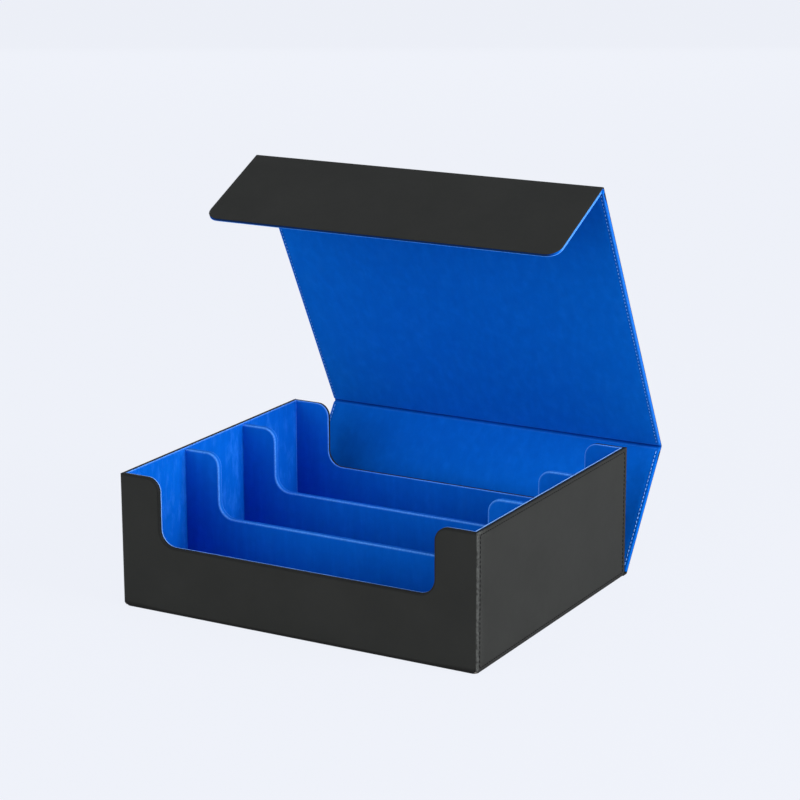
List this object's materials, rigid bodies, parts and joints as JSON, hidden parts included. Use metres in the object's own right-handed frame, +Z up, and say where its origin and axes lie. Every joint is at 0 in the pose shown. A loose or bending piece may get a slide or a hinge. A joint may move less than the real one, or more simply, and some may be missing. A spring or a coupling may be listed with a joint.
{
  "type": "trading card storage box",
  "caption": "Open card tray with three notched rows and a wrap-around folding cover of rear panel, top panel and magnetic front flap; black outside, blue suede inside.",
  "frame": {"origin": "on the table under the middle of the tray, in the base skin's lower face", "axes": "+X to the right, the front wall and the flap towards -Y, the cover's rear hinge towards +Y, +Z up; the cover stands open at rest"},
  "size_m": [0.312, 0.3254, 0.3271],
  "materials": {
    "black_leather": "fine matte grain",
    "blue_suede": "brushed suede",
    "greyboard": "matte grey pulp board",
    "black_thread": "polyester sewing thread",
    "blue_thread": "polyester sewing thread",
    "magnet": "nickel plated disc magnet"
  },
  "bodies": {
    "tray": {"base_board": "greyboard", "base_skin": "black_leather", "front_board": "greyboard", "rear_board": "greyboard", "left_board": "greyboard", "right_board": "greyboard", "front_skin": "black_leather", "rear_skin": "black_leather", "left_skin": "black_leather", "right_skin": "black_leather", "left_side_thread": "black_thread", "right_side_thread": "black_thread", "front_lining": "blue_suede", "rear_lining": "blue_suede", "left_lining": "blue_suede", "right_lining": "blue_suede", "front_row_floor_lining": "blue_suede", "middle_row_floor_lining": "blue_suede", "rear_row_floor_lining": "blue_suede", "front_divider_board": "greyboard", "front_divider_cover": "blue_suede", "rear_divider_board": "greyboard", "rear_divider_cover": "blue_suede", "left_wall_magnet": "magnet", "right_wall_magnet": "magnet"},
    "rear_cover": {"rear_cover_board": "greyboard", "rear_cover_skin": "black_leather", "rear_cover_lining": "blue_suede", "rear_cover_left_thread": "blue_thread", "rear_cover_right_thread": "blue_thread"},
    "top_cover": {"top_cover_board": "greyboard", "top_cover_skin": "black_leather", "top_cover_lining": "blue_suede", "top_cover_left_thread": "blue_thread", "top_cover_right_thread": "blue_thread"},
    "flap": {"flap_board": "greyboard", "flap_skin": "black_leather", "flap_lining": "blue_suede", "flap_thread": "blue_thread", "left_flap_magnet": "magnet", "right_flap_magnet": "magnet"}
  },
  "joints": [
    {"name": "rear_hinge", "type": "hinge", "parent": "tray", "child": "rear_cover", "pos_m": [0, 0.13235, 0.00045], "axis": [1, 0, 0], "range_deg": [-54.7, 35.3]},
    {"name": "top_hinge", "type": "hinge", "parent": "rear_cover", "child": "top_cover", "pos_m": [0, 0.19695, 0.09169], "axis": [1, 0, 0], "range_deg": [-62.8, 27.2]},
    {"name": "flap_hinge", "type": "hinge", "parent": "top_cover", "child": "flap", "pos_m": [0, 0.07464, 0.32666], "axis": [1, 0, 0], "range_deg": [-88.5, 1.5]}
  ]
}
